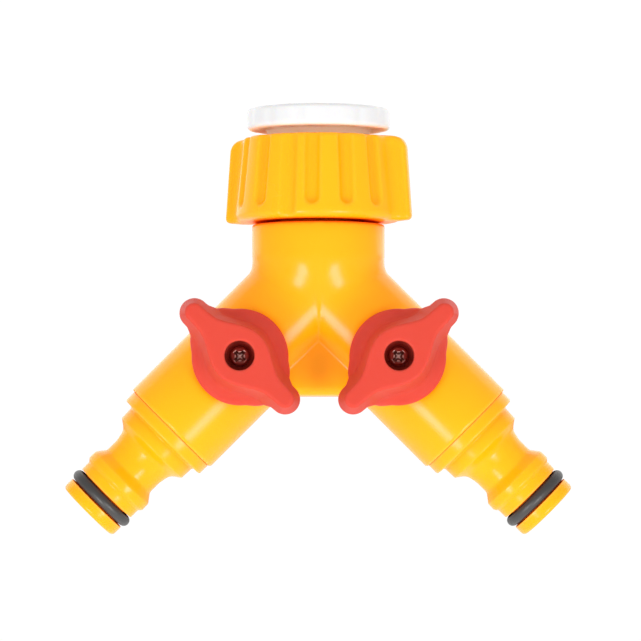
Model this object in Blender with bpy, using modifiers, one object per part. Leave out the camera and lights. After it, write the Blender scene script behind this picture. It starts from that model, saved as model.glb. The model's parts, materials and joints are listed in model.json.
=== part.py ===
"""Two-way hose splitter with a swivel tap nut, two quarter-turn ball valves and two hose nozzles.

Frame: the origin is the centre of the tap adaptor's mouth, +Z is the inlet axis pointing out of
the mouth, the two arms leave down to the left and right in the XZ plane, and the knobs face -Y.
"""
from math import atan, cos, pi, radians, sin, sqrt

import bmesh
import bpy
from mathutils import Matrix, Vector

MM = 0.001
GAP = 0.3 * MM                     # running gap between neighbouring pieces
PAST = 1.0 * MM                    # how far a cutter reaches past the face it opens
OVERLAP = 0.5 * MM                 # how far joined solids reach into each other
SEGMENTS = 32                      # sides of the large turned pieces
SMALL_SEGMENTS = 16                # sides of the small turned pieces
RING_SEGMENTS = 8                  # sides of a sealing ring's section
BALL_STEPS = 12                    # bands of a ball from pole to pole
CURVE_STEPS = 4                    # points along each stretch of an outline
MERGE = 0.00001
SHARP_ANGLE = radians(35)

# Y body: the arms' axes meet at ARM_ORIGIN and run down at ARM_TILT from the inlet axis.
ARM_ORIGIN_Z = -40.3 * MM
ARM_TILT = radians(135)
BARREL_R = 12.8 * MM
BARREL_END = 48.5 * MM
NECK_R = 15.5 * MM
NECK_TOP = -27.1 * MM
SHOULDER_Z = -37.5 * MM
NECK_BORE_R = 9.8 * MM
NECK_BORE_END = -38.0 * MM
PASSAGE_R = 5.0 * MM
PASSAGE_START = -4.0 * MM
CAVITY_R = 9.0 * MM
WEB_BOTTOM = -67.1 * MM
WEB_HALF_DEPTH = 9.0 * MM
WEB_TOP = -45.0 * MM
WEB_HALF_WIDTH = 18.0 * MM
WEB_EDGE = 1.6 * MM

# Valves: heights are measured from the arm's axis towards the knob.
VALVE_AT = 25.6 * MM
BOSS_R = 8.5 * MM
BOSS_ROOT = 7.7 * MM
BOSS_TOP = 13.7 * MM
STEM_R = 3.5 * MM
STEM_BORE_R = STEM_R + GAP
COLLAR_R = 4.7 * MM
COLLAR_LOW = 8.1 * MM
COLLAR_TOP = 9.5 * MM
STEM_TOP = 13.0 * MM
SQUARE_SIDE = 4.6 * MM
SQUARE_TOP = 16.8 * MM
STEM_GROOVE = (10.5 * MM, 12.3 * MM)
STEM_GROOVE_R = 2.5 * MM
STEM_RING_WIRE = 0.55 * MM
STEM_RING_CLEAR = 0.1 * MM
TANG_LENGTH = 6.0 * MM
TANG_WIDTH = 2.0 * MM
TANG_LOW = 6.1 * MM
BALL_R = 7.5 * MM
BALL_BORE_R = 4.5 * MM
SEAT_R = CAVITY_R - GAP
SEAT_BORE_R = 4.8 * MM
SEAT_LIP_R = 5.9 * MM
SEAT_BACK = 9.2 * MM               # from the ball's centre to the seat's flat back
SEAT_STEPS = 5
CAVITY_START = VALVE_AT - SEAT_BACK - GAP
TAIL_START = VALVE_AT + SEAT_BACK + GAP

# Knob and its screw.
KNOB_R = 11.2 * MM
KNOB_LOW = BOSS_TOP + GAP
KNOB_TOP = 26.0 * MM
KNOB_RIM = 1.3 * MM
KNOB_EDGE = 0.4 * MM
KNOB_CORE_R = 6.6 * MM
KNOB_SKIRT = [(KNOB_CORE_R, 23.5 * MM), (7.6 * MM, 19.6 * MM), (9.4 * MM, 17.0 * MM)]
HANDLE_LOW = 18.6 * MM
HANDLE_REACH = 17.8 * MM
HANDLE_TIP_R = 3.2 * MM
HANDLE_MID = 7.0 * MM
HANDLE_NECK = (10.2 * MM, 4.1 * MM)
HANDLE_SWEEP = 3.2 * MM            # how far the handle's curves lead out of the middle and the neck
HANDLE_EDGE = 0.9 * MM
ROUND_HANDLE = 0.5523              # Bezier handle of a quarter circle, as a share of its radius
SCREW_HOLE_R = 3.4 * MM
SCREW_FLOOR = 18.4 * MM
SCREW_HEAD_R = 2.2 * MM
SCREW_HEAD_H = 1.7 * MM
SCREW_DOME = 0.9 * MM
SCREW_POINT = 1.0 * MM
SCREW_SHANK_R = 1.25 * MM
SCREW_CLEAR_R = SCREW_SHANK_R + GAP
SCREW_END = 11.6 * MM
SCREW_BORE_END = 11.0 * MM
CROSS_WIDTH = 0.7 * MM
CROSS_LENGTH = 2.6 * MM
CROSS_DEPTH = 1.0 * MM

# Outlet nozzle: distances along the arm from ARM_ORIGIN.
NOZZLE_BORE_R = 4.5 * MM
NOZZLE_START = BARREL_END + GAP
TAIL_GROOVE = (39.4 * MM, 41.8 * MM)
TAIL_GROOVE_R = 7.0 * MM
TAIL_RING_WIRE = 0.8 * MM
RING_CLEAR = 0.15 * MM             # a sealing ring's clearance from the bottom of its groove
NOZZLE_TIP = 75.9 * MM
TIP_R = 8.0 * MM
TIP_ROUND = 0.9 * MM
COUPLING_GROOVE = (69.9 * MM, 73.0 * MM)
COUPLING_GROOVE_R = 5.8 * MM
COUPLING_RING_R = 7.35 * MM
COUPLING_RING_WIRE = 1.3 * MM
RIDGE = [(TIP_R, 67.5 * MM), (8.65 * MM, 66.6 * MM), (8.6 * MM, 64.8 * MM)]
WAIST = [(7.05 * MM, 62.8 * MM), (7.05 * MM, 59.6 * MM), (7.2 * MM, 58.4 * MM), (7.6 * MM, 57.2 * MM),
         (8.4 * MM, 56.0 * MM)]
COLLARS = [(9.8 * MM, 54.9 * MM), (10.0 * MM, 52.0 * MM), (10.3 * MM, 51.5 * MM), (12.1 * MM, 51.4 * MM),
           (12.1 * MM, NOZZLE_START)]

# Swivel nut, inlet spigot, washers and tap adaptor.
NUT_TOP = -6.6 * MM
NUT_BOTTOM = -26.5 * MM
NUT_TOP_R = 17.5 * MM
NUT_BOTTOM_R = 19.5 * MM
NUT_TOP_EDGE = 1.0 * MM
NUT_BOTTOM_EDGE = 2.0 * MM
NUT_BORE_R = 12.95 * MM
NUT_LIP_TOP = -23.5 * MM
NUT_LIP_R = 10.0 * MM
FLUTE_R = 1.8 * MM
FLUTE_DEPTH = 0.9 * MM
FLUTE_LOW = -22.6 * MM
FLUTE_SEGMENTS = 12
FLUTE_ANGLES = (-72, -46, -22.5, -5, 20, 44.5)
WING_ANGLE = 72
WING_TOP_R = 21.4 * MM
WING_BOTTOM_R = 22.8 * MM
WING_THICKNESS = 3.4 * MM
WING_TOP_ROUND = 3.0 * MM
WING_EDGE = 0.8 * MM
WING_BOTTOM_ROUND = 1.5 * MM
WING_ROOT_R = 15.5 * MM
WING_PROUD = 0.2 * MM             # the wings' ends stand this far past the nut's
ROUND_SHARE = 0.55                 # Bezier handle of a rounded corner, as a share of its radius
SPIGOT_R = 9.5 * MM
SPIGOT_BORE_R = 7.2 * MM
SPIGOT_END = -36.5 * MM
SPIGOT_FLANGE_R = 11.7 * MM
SPIGOT_FLANGE = (-23.2 * MM, -21.0 * MM)
SPIGOT_GROOVE = (-32.2 * MM, -30.4 * MM)
SPIGOT_GROOVE_R = 8.1 * MM
WASHER_R = 12.4 * MM
WASHER_HOLE_R = 7.5 * MM
WASHER = (-20.7 * MM, -18.2 * MM)
ADAPTOR_R = NUT_BORE_R - GAP
ADAPTOR_BOTTOM = -17.9 * MM
ADAPTOR_EDGE = 1.0 * MM
FLANGE_R = 16.8 * MM
FLANGE_BOTTOM = -4.8 * MM
SOCKET_R = 9.9 * MM
SOCKET_FLOOR = -14.0 * MM
ADAPTOR_HOLE_R = 6.5 * MM
SEAL = (-13.7 * MM, -11.7 * MM)
SEAL_HOLE_R = 6.2 * MM

YELLOW = (0.98, 0.50, 0.004)
RED = (0.86, 0.075, 0.045)
WHITE = (0.86, 0.86, 0.88)
IVORY = (0.72, 0.70, 0.62)
BLACK = (0.045, 0.045, 0.05)
STEEL = (0.62, 0.60, 0.58)


def clear_scene():
    for thing in list(bpy.data.objects):
        bpy.data.objects.remove(thing, do_unlink=True)


def new_collection(name):
    collection = bpy.data.collections.new(name)
    bpy.context.scene.collection.children.link(collection)
    return collection


def new_material(name, color, roughness, metallic=0.0):
    material = bpy.data.materials.new(name)
    material.use_nodes = True
    shader = material.node_tree.nodes["Principled BSDF"]
    shader.inputs["Base Color"].default_value = (*color, 1)
    shader.inputs["Roughness"].default_value = roughness
    shader.inputs["Metallic"].default_value = metallic
    return material


def new_empty(name, location, rotation):
    empty = bpy.data.objects.new(name, None)
    empty.location = location
    empty.rotation_euler = rotation
    PARTS.objects.link(empty)
    return empty


def new_object(name, mesh, collection, parent=None, angle=0.0):
    thing = bpy.data.objects.new(name, mesh)
    thing.parent = parent
    thing.rotation_euler = (0, 0, angle)
    collection.objects.link(thing)
    return thing


def make_cutter(thing):
    thing.hide_render = True
    thing.display_type = "WIRE"
    return thing


def turned_mesh(name, profile, closed):
    """The edges of a turned shape's profile: (radius, height) pairs, outer side top to bottom."""
    mesh = bpy.data.meshes.new(name)
    edges = [(i, i + 1) for i in range(len(profile) - 1)]
    if closed:
        edges.append((len(profile) - 1, 0))
    mesh.from_pydata([(radius, 0, height) for radius, height in profile], edges, [])
    return mesh


def turned(name, profile, collection, parent=None, closed=True, steps=SEGMENTS):
    thing = new_object(name, turned_mesh(name, profile, closed), collection, parent)
    screw = thing.modifiers.new("Screw", "SCREW")
    screw.steps = steps
    screw.render_steps = steps
    screw.use_merge_vertices = True
    screw.merge_threshold = MERGE
    screw.use_smooth_shade = True
    return thing


def tube_profile(outer_r, inner_r, low, top):
    return [(inner_r, top), (outer_r, top), (outer_r, low), (inner_r, low)]


def rod_profile(radius, low, top):
    return [(0, top), (radius, top), (radius, low), (0, low)]


def arc(centre_r, centre_h, radius, start, end, count):
    """Profile points on an arc; angles in degrees, 0 pointing outwards and 90 up."""
    angles = [radians(start + (end - start) * i / count) for i in range(count + 1)]
    return [(centre_r + radius * cos(a), centre_h + radius * sin(a)) for a in angles]


def ring(name, centre_r, centre_h, wire_r, parent=None, steps=SMALL_SEGMENTS):
    """A sealing ring of round section."""
    profile = arc(centre_r, centre_h, wire_r, 90, -270, RING_SEGMENTS)[:-1]
    return turned(name, profile, PARTS, parent, steps=steps)


def box(name, size, centre, collection, parent=None, angle=0.0):
    mesh = bpy.data.meshes.new(name)
    shape = bmesh.new()
    bmesh.ops.create_cube(shape, size=1, matrix=Matrix.LocRotScale(Vector(centre), None, Vector(size)))
    shape.to_mesh(mesh)
    shape.free()
    return new_object(name, mesh, collection, parent, angle)


def outline_solid(name, splines, half_thickness, collection):
    """A flat outline in the local XY plane, thickened both ways, as a mesh object.

    Each spline is a list of (point, handle_in, handle_out) for a closed Bezier loop.
    """
    curve = bpy.data.curves.new(name, "CURVE")
    curve.dimensions = "2D"
    curve.fill_mode = "BOTH"
    curve.extrude = half_thickness
    curve.resolution_u = CURVE_STEPS
    for points in splines:
        spline = curve.splines.new("BEZIER")
        spline.bezier_points.add(len(points) - 1)
        spline.use_cyclic_u = True
        for knot, (co, handle_in, handle_out) in zip(spline.bezier_points, points):
            knot.co = (*co, 0)
            knot.handle_left = (*handle_in, 0)
            knot.handle_right = (*handle_out, 0)
    source = bpy.data.objects.new(name + "_outline", curve)
    bpy.context.scene.collection.objects.link(source)
    graph = bpy.context.evaluated_depsgraph_get()
    mesh = bpy.data.meshes.new_from_object(source.evaluated_get(graph))
    mesh.name = name
    bpy.data.objects.remove(source, do_unlink=True)
    shape = bmesh.new()
    shape.from_mesh(mesh)
    bmesh.ops.remove_doubles(shape, verts=shape.verts, dist=MERGE)
    shape.to_mesh(mesh)
    shape.free()
    mesh.materials.clear()
    return new_object(name, mesh, collection)


def combine(thing, other, operation, solver="EXACT"):
    """Join or cut; a MANIFOLD solver is for the pieces whose cuts meet edge on edge."""
    modifier = thing.modifiers.new(other.name, "BOOLEAN")
    modifier.operation = operation
    modifier.solver = solver
    modifier.object = other
    make_cutter(other)


def bevel(thing, width, angle=radians(40), segments=2):
    modifier = thing.modifiers.new("Bevel", "BEVEL")
    modifier.width = width
    modifier.segments = segments
    modifier.limit_method = "ANGLE"
    modifier.angle_limit = angle


def finish(thing, material):
    """Give a part its one material and smooth its round faces."""
    thing.data.materials.clear()
    thing.data.materials.append(material)
    thing.data.shade_smooth()
    thing.data.set_sharp_from_angle(angle=SHARP_ANGLE)


def from_front(radius, degrees, height):
    """A point round the inlet axis, its angle counted from the front (-Y) towards +X."""
    angle = radians(degrees)
    return (radius * sin(angle), -radius * cos(angle), height)


def make_y_body(arms, valves):
    shoulder = arc(0, SHOULDER_Z, NECK_R, 0, -90, 8)[1:]
    body = turned("y_body", [(0, NECK_TOP), (NECK_R, NECK_TOP), (NECK_R, SHOULDER_Z), *shoulder],
                  PARTS, closed=False)
    web_corners = [(-WEB_HALF_WIDTH, WEB_BOTTOM), (WEB_HALF_WIDTH, WEB_BOTTOM), (0, WEB_TOP)]
    web = outline_solid("web_solid", [[(p, p, p) for p in web_corners]], WEB_HALF_DEPTH, CUTTERS)
    web.rotation_euler = (pi / 2, 0, 0)
    bevel(web, WEB_EDGE)
    combine(body, web, "UNION", "MANIFOLD")
    for side, arm in arms.items():
        barrel = turned(side + "_barrel_solid", rod_profile(BARREL_R, 0, BARREL_END), CUTTERS, arm, False)
        combine(body, barrel, "UNION", "MANIFOLD")
    for side, valve in valves.items():
        boss_profile = rod_profile(BOSS_R, BOSS_ROOT, BOSS_TOP)
        combine(body, turned(side + "_boss_solid", boss_profile, CUTTERS, valve, False), "UNION", "MANIFOLD")
    neck_bore = rod_profile(NECK_BORE_R, NECK_BORE_END, NECK_TOP + PAST)
    combine(body, turned("neck_bore_cut", neck_bore, CUTTERS, None, False), "DIFFERENCE", "MANIFOLD")
    for side, arm in arms.items():
        bore = [(0, BARREL_END + PAST), (CAVITY_R, BARREL_END + PAST), (CAVITY_R, CAVITY_START),
                (PASSAGE_R, CAVITY_START), (PASSAGE_R, PASSAGE_START), (0, PASSAGE_START)]
        combine(body, turned(side + "_bore_cut", bore, CUTTERS, arm, False), "DIFFERENCE", "MANIFOLD")
    for side, valve in valves.items():
        collar_bore_r = COLLAR_R + GAP
        collar_bore_low = TANG_LOW - PAST
        bore = [(0, BOSS_TOP + PAST), (STEM_BORE_R, BOSS_TOP + PAST), (STEM_BORE_R, COLLAR_TOP + GAP),
                (collar_bore_r, COLLAR_TOP + GAP), (collar_bore_r, collar_bore_low), (0, collar_bore_low)]
        cut = turned(side + "_stem_cut", bore, CUTTERS, valve, False, SMALL_SEGMENTS)
        combine(body, cut, "DIFFERENCE", "MANIFOLD")
    finish(body, YELLOW_PLASTIC)


def nozzle_profile():
    """The outlet nozzle's section: tail in the barrel, two steps, waist, ridge and sealing tip."""
    outer = [
        *arc(TIP_R - TIP_ROUND, NOZZLE_TIP - TIP_ROUND, TIP_ROUND, 90, 0, 3),
        (TIP_R, COUPLING_GROOVE[1]), (COUPLING_GROOVE_R, COUPLING_GROOVE[1]),
        (COUPLING_GROOVE_R, COUPLING_GROOVE[0]), (TIP_R, COUPLING_GROOVE[0]),
        *RIDGE, *WAIST, *COLLARS, (SEAT_R, NOZZLE_START),
        (SEAT_R, TAIL_GROOVE[1]), (TAIL_GROOVE_R, TAIL_GROOVE[1]),
        (TAIL_GROOVE_R, TAIL_GROOVE[0]), (SEAT_R, TAIL_GROOVE[0]),
        (SEAT_R, TAIL_START),
    ]
    return [(NOZZLE_BORE_R, NOZZLE_TIP), *outer, (NOZZLE_BORE_R, TAIL_START)]


def seat_profile(direction):
    """A ball seat's section; direction is -1 for the seat before the ball and 1 for the one after."""
    clear_r = BALL_R + GAP
    radii = [SEAT_BORE_R + (SEAT_LIP_R - SEAT_BORE_R) * i / SEAT_STEPS for i in range(SEAT_STEPS + 1)]
    hollow = [(r, VALVE_AT + direction * sqrt(clear_r ** 2 - r ** 2)) for r in radii]
    lip = (SEAT_R, hollow[-1][1])
    back = VALVE_AT + direction * SEAT_BACK
    loop = [*hollow, lip, (SEAT_R, back), (SEAT_BORE_R, back)]
    return loop if direction < 0 else loop[::-1]


def make_arm(side, arm):
    nozzle = turned(side + "_outlet_nozzle", nozzle_profile(), PARTS, arm)
    finish(nozzle, YELLOW_PLASTIC)
    coupling_middle = sum(COUPLING_GROOVE) / 2
    coupling_ring = ring(side + "_nozzle_oring", COUPLING_RING_R, coupling_middle, COUPLING_RING_WIRE,
                         arm, SEGMENTS)
    tail_ring = ring(side + "_tail_oring", TAIL_GROOVE_R + TAIL_RING_WIRE + RING_CLEAR,
                     sum(TAIL_GROOVE) / 2, TAIL_RING_WIRE, arm, SEGMENTS)
    inner_seat = turned(side + "_inner_ball_seat", seat_profile(-1), PARTS, arm, steps=SMALL_SEGMENTS)
    outer_seat = turned(side + "_outer_ball_seat", seat_profile(1), PARTS, arm, steps=SMALL_SEGMENTS)
    for piece in (coupling_ring, tail_ring):
        finish(piece, BLACK_RUBBER)
    for piece in (inner_seat, outer_seat):
        finish(piece, IVORY_PLASTIC)


def handle_outline():
    """The knob handle from above: a round middle that narrows in ogee curves to two lobes."""
    tip = HANDLE_REACH
    sweep = HANDLE_SWEEP
    neck_x, neck_y = HANDLE_NECK
    rise = HANDLE_MID - neck_y
    lobe_x = tip - HANDLE_TIP_R
    reach = ROUND_HANDLE * HANDLE_TIP_R
    right = [
        ((0, HANDLE_MID), (-sweep, HANDLE_MID), (sweep, HANDLE_MID)),
        ((neck_x, neck_y), (neck_x - sweep, neck_y + rise / 4), (neck_x + sweep / 2, neck_y - rise / 8)),
        ((lobe_x, HANDLE_TIP_R), (lobe_x - sweep / 3, HANDLE_TIP_R), (lobe_x + reach, HANDLE_TIP_R)),
        ((tip, 0), (tip, reach), (tip, -reach)),
    ]
    lower = [tuple((x, -y) for x, y in (co, after, before)) for co, before, after in right[2:0:-1]]
    half = right + lower
    turned_half = [tuple((-x, -y) for x, y in knot) for knot in half]
    return [half + turned_half]


def make_knob(side, valve, angle):
    core_top = KNOB_TOP - HANDLE_EDGE / 2
    rim_top = KNOB_LOW + KNOB_RIM
    skirt = [(0, core_top), (KNOB_CORE_R - HANDLE_EDGE, core_top), *KNOB_SKIRT,
             (KNOB_R - KNOB_EDGE, rim_top + KNOB_EDGE), (KNOB_R, rim_top),
             (KNOB_R, KNOB_LOW + KNOB_EDGE), (KNOB_R - KNOB_EDGE, KNOB_LOW), (0, KNOB_LOW)]
    knob = turned(side + "_knob", skirt, PARTS, valve, False)
    knob.rotation_euler = (0, 0, angle)
    half_height = (KNOB_TOP - HANDLE_LOW) / 2
    handle = outline_solid(side + "_handle_solid", handle_outline(), half_height, CUTTERS)
    handle.parent = valve
    handle.location = (0, 0, HANDLE_LOW + half_height)
    handle.rotation_euler = (0, 0, angle)
    bevel(handle, HANDLE_EDGE, segments=1)
    combine(knob, handle, "UNION", "MANIFOLD")
    hole_top = KNOB_TOP + PAST
    hole_low = KNOB_LOW - PAST
    hole = [(0, hole_top), (SCREW_HOLE_R, hole_top), (SCREW_HOLE_R, SCREW_FLOOR),
            (SCREW_CLEAR_R, SCREW_FLOOR), (SCREW_CLEAR_R, hole_low), (0, hole_low)]
    hole_cut = turned(side + "_screw_cut", hole, CUTTERS, valve, False, SMALL_SEGMENTS)
    combine(knob, hole_cut, "DIFFERENCE", "MANIFOLD")
    socket_side = SQUARE_SIDE + 2 * GAP
    socket_height = SQUARE_TOP + GAP - hole_low
    socket = box(side + "_socket_cut", (socket_side, socket_side, socket_height),
                 (0, 0, SQUARE_TOP + GAP - socket_height / 2), CUTTERS, valve, angle)
    combine(knob, socket, "DIFFERENCE", "MANIFOLD")
    finish(knob, RED_PLASTIC)


def make_screw(side, valve, angle):
    head_low = SCREW_FLOOR + GAP
    head_top = head_low + SCREW_HEAD_H
    profile = [(0, head_top), (SCREW_HEAD_R * 0.6, head_top), (SCREW_HEAD_R * 0.9, head_top - SCREW_DOME / 2),
               (SCREW_HEAD_R, head_top - SCREW_DOME), (SCREW_HEAD_R, head_low),
               (SCREW_SHANK_R, head_low), (SCREW_SHANK_R, SCREW_END + SCREW_POINT), (0, SCREW_END)]
    screw = turned(side + "_knob_screw", profile, PARTS, valve, False, SMALL_SEGMENTS)
    for turn in (0, 1):
        cut = box(f"{side}_cross_cut_{turn}", (CROSS_LENGTH, CROSS_WIDTH, 2 * CROSS_DEPTH),
                  (0, 0, head_top), CUTTERS, valve, angle + turn * pi / 2)
        combine(screw, cut, "DIFFERENCE")
    finish(screw, STEEL_METAL)


def make_spindle(side, valve, angle):
    profile = [(0, STEM_TOP), (STEM_R, STEM_TOP), (STEM_R, STEM_GROOVE[1]), (STEM_GROOVE_R, STEM_GROOVE[1]),
               (STEM_GROOVE_R, STEM_GROOVE[0]), (STEM_R, STEM_GROOVE[0]), (STEM_R, COLLAR_TOP),
               (COLLAR_R, COLLAR_TOP), (COLLAR_R, COLLAR_LOW), (0, COLLAR_LOW)]
    spindle = turned(side + "_spindle", profile, PARTS, valve, False, SMALL_SEGMENTS)
    square_low = STEM_TOP - OVERLAP
    square = box(side + "_square_solid", (SQUARE_SIDE, SQUARE_SIDE, SQUARE_TOP - square_low),
                 (0, 0, (SQUARE_TOP + square_low) / 2), CUTTERS, valve, angle)
    combine(spindle, square, "UNION", "MANIFOLD")
    tang_top = COLLAR_LOW + OVERLAP
    tang = box(side + "_tang_solid", (TANG_LENGTH, TANG_WIDTH, tang_top - TANG_LOW),
               (0, 0, (tang_top + TANG_LOW) / 2), CUTTERS, valve, angle)
    combine(spindle, tang, "UNION", "MANIFOLD")
    bore = rod_profile(SCREW_CLEAR_R, SCREW_BORE_END, SQUARE_TOP + PAST)
    bore_cut = turned(side + "_spindle_cut", bore, CUTTERS, valve, False, SMALL_SEGMENTS)
    combine(spindle, bore_cut, "DIFFERENCE", "MANIFOLD")
    finish(spindle, IVORY_PLASTIC)
    seal = ring(side + "_spindle_oring", STEM_GROOVE_R + STEM_RING_WIRE + STEM_RING_CLEAR,
                sum(STEM_GROOVE) / 2, STEM_RING_WIRE, valve)
    finish(seal, BLACK_RUBBER)


def make_ball(side, valve, angle):
    profile = [(0, BALL_R), *arc(0, 0, BALL_R, 90, -90, BALL_STEPS)[1:-1], (0, -BALL_R)]
    ball = turned(side + "_valve_ball", profile, PARTS, valve, False)
    bore = turned(side + "_ball_bore_cut", rod_profile(BALL_BORE_R, -BALL_R - PAST, BALL_R + PAST), CUTTERS,
                  valve, False, SMALL_SEGMENTS)
    bore.rotation_euler = (0, pi / 2, angle)
    combine(ball, bore, "DIFFERENCE")
    slot_low = TANG_LOW - GAP
    slot_top = BALL_R + PAST
    slot = box(side + "_ball_slot_cut", (2 * BALL_R, TANG_WIDTH + 2 * GAP, slot_top - slot_low),
               (0, 0, (slot_top + slot_low) / 2), CUTTERS, valve, angle)
    combine(ball, slot, "DIFFERENCE")
    finish(ball, IVORY_PLASTIC)


def make_wing(name, degrees):
    """One of the nut's wings: a rounded plate standing out along the nut's full height."""
    slope = (WING_BOTTOM_R - WING_TOP_R) / (NUT_TOP - NUT_BOTTOM)
    top_r, low_r = WING_TOP_ROUND, WING_BOTTOM_ROUND
    outer_top = (WING_TOP_R + slope * top_r, NUT_TOP - top_r)
    outer_low = (WING_BOTTOM_R - slope * low_r, NUT_BOTTOM + low_r)
    top_corner = (WING_TOP_R - top_r, NUT_TOP)
    low_corner = (WING_BOTTOM_R - low_r, NUT_BOTTOM)
    inner = WING_ROOT_R
    splines = [[
        ((inner, NUT_TOP), (inner, NUT_TOP), (inner, NUT_TOP)),
        (top_corner, top_corner, (top_corner[0] + ROUND_SHARE * top_r, NUT_TOP)),
        (outer_top, (outer_top[0], outer_top[1] + ROUND_SHARE * top_r), outer_top),
        (outer_low, outer_low, (outer_low[0], outer_low[1] - ROUND_SHARE * low_r)),
        (low_corner, (low_corner[0] + ROUND_SHARE * low_r, NUT_BOTTOM), low_corner),
        ((inner, NUT_BOTTOM), (inner, NUT_BOTTOM), (inner, NUT_BOTTOM)),
    ]]
    wing = outline_solid(name, splines, WING_THICKNESS / 2, CUTTERS)
    bevel(wing, WING_EDGE, segments=1)
    wing.rotation_euler = (pi / 2, 0, radians(degrees - 90))
    return wing


def make_nut():
    top = NUT_TOP - WING_PROUD
    low = NUT_BOTTOM + WING_PROUD
    top_edge = arc(NUT_TOP_R - NUT_TOP_EDGE, top - NUT_TOP_EDGE, NUT_TOP_EDGE, 90, 0, 3)
    low_edge = arc(NUT_BOTTOM_R - NUT_BOTTOM_EDGE, low + NUT_BOTTOM_EDGE, NUT_BOTTOM_EDGE, 0, -90, 4)
    profile = [(NUT_BORE_R, top), *top_edge, *low_edge, (NUT_LIP_R, low),
               (NUT_LIP_R, NUT_LIP_TOP), (NUT_BORE_R, NUT_LIP_TOP)]
    nut = turned("swivel_nut", profile, PARTS)
    for number in (0, 1):
        combine(nut, make_wing(f"wing_solid_{number}", WING_ANGLE + 180 * number), "UNION")
    taper = atan((NUT_BOTTOM_R - NUT_TOP_R) / (NUT_TOP - NUT_BOTTOM))
    end = arc(0, 0, FLUTE_R, 0, -90, 3)
    flute_length = NUT_TOP - FLUTE_LOW + 2 * PAST
    flute_profile = [(0, flute_length), (FLUTE_R, flute_length), *end[:-1], (0, -FLUTE_R)]
    surface_r = NUT_BOTTOM_R - (FLUTE_LOW - NUT_BOTTOM) * sin(taper) + FLUTE_R - FLUTE_DEPTH
    for half in (0, 180):
        for number, degrees in enumerate(FLUTE_ANGLES):
            cut = turned(f"flute_cut_{half}_{number}", flute_profile, CUTTERS, None, False, FLUTE_SEGMENTS)
            cut.location = from_front(surface_r, degrees + half, FLUTE_LOW)
            cut.rotation_euler = (-taper, 0, radians(degrees + half))
            combine(nut, cut, "DIFFERENCE")
    finish(nut, YELLOW_PLASTIC)


def make_inlet():
    low, top = SPIGOT_FLANGE
    profile = [(SPIGOT_BORE_R, top), (SPIGOT_FLANGE_R, top), (SPIGOT_FLANGE_R, low), (SPIGOT_R, low),
               (SPIGOT_R, SPIGOT_GROOVE[1]), (SPIGOT_GROOVE_R, SPIGOT_GROOVE[1]),
               (SPIGOT_GROOVE_R, SPIGOT_GROOVE[0]), (SPIGOT_R, SPIGOT_GROOVE[0]),
               (SPIGOT_R, SPIGOT_END), (SPIGOT_BORE_R, SPIGOT_END)]
    finish(turned("inlet_spigot", profile, PARTS), YELLOW_PLASTIC)
    wire = (SPIGOT_R - SPIGOT_GROOVE_R) / 2
    seal = ring("spigot_oring", SPIGOT_GROOVE_R + wire + RING_CLEAR, sum(SPIGOT_GROOVE) / 2, wire,
                steps=SEGMENTS)
    finish(seal, BLACK_RUBBER)
    finish(turned("inlet_washer", tube_profile(WASHER_R, WASHER_HOLE_R, *WASHER), PARTS), BLACK_RUBBER)


def make_adaptor():
    edge = ADAPTOR_EDGE
    profile = [(SOCKET_R, 0), *arc(FLANGE_R - edge, -edge, edge, 90, 0, 3),
               *arc(FLANGE_R - edge, FLANGE_BOTTOM + edge, edge, 0, -90, 3),
               (ADAPTOR_R, FLANGE_BOTTOM), (ADAPTOR_R, ADAPTOR_BOTTOM + edge), (ADAPTOR_R - edge, ADAPTOR_BOTTOM),
               (ADAPTOR_HOLE_R, ADAPTOR_BOTTOM), (ADAPTOR_HOLE_R, SOCKET_FLOOR), (SOCKET_R, SOCKET_FLOOR)]
    finish(turned("thread_adaptor", profile, PARTS), WHITE_PLASTIC)
    seal = tube_profile(SOCKET_R - GAP, SEAL_HOLE_R, *SEAL)
    finish(turned("adaptor_washer", seal, PARTS, steps=SMALL_SEGMENTS), BLACK_RUBBER)


def main():
    arms = {}
    valves = {}
    for side, direction in (("left", -1), ("right", 1)):
        tilt = direction * ARM_TILT
        arms[side] = new_empty(side + "_arm_axis", (0, 0, ARM_ORIGIN_Z), (0, tilt, 0))
        at = (VALVE_AT * sin(tilt), 0, ARM_ORIGIN_Z + VALVE_AT * cos(tilt))
        valves[side] = new_empty(side + "_valve_axis", at, (pi / 2, 0, 0))
    make_y_body(arms, valves)
    for side, direction in (("left", -1), ("right", 1)):
        closed_angle = direction * radians(45)
        make_arm(side, arms[side])
        make_knob(side, valves[side], closed_angle)
        make_screw(side, valves[side], closed_angle)
        make_spindle(side, valves[side], closed_angle)
        make_ball(side, valves[side], closed_angle)
    make_nut()
    make_inlet()
    make_adaptor()


clear_scene()
PARTS = new_collection("hose_splitter")
CUTTERS = new_collection("cutters")
YELLOW_PLASTIC = new_material("yellow_plastic", YELLOW, 0.3)
RED_PLASTIC = new_material("red_plastic", RED, 0.35)
WHITE_PLASTIC = new_material("white_plastic", WHITE, 0.35)
IVORY_PLASTIC = new_material("ivory_plastic", IVORY, 0.4)
BLACK_RUBBER = new_material("black_rubber", BLACK, 0.6)
STEEL_METAL = new_material("steel", STEEL, 0.3, 1.0)
main()
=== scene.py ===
"""Looks of the two-way hose splitter: smooth moulded shells, threads, materials, light and camera.

Shapes are worked out in millimetres, and make_piece turns them into metres. The tap end is at z = 0,
the arms point down to both sides, and the knobs face -y.
"""
import json
from math import cos, pi, radians, sin, sqrt, tan

import bpy
import numpy as np
from mathutils import Matrix, Vector


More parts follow.
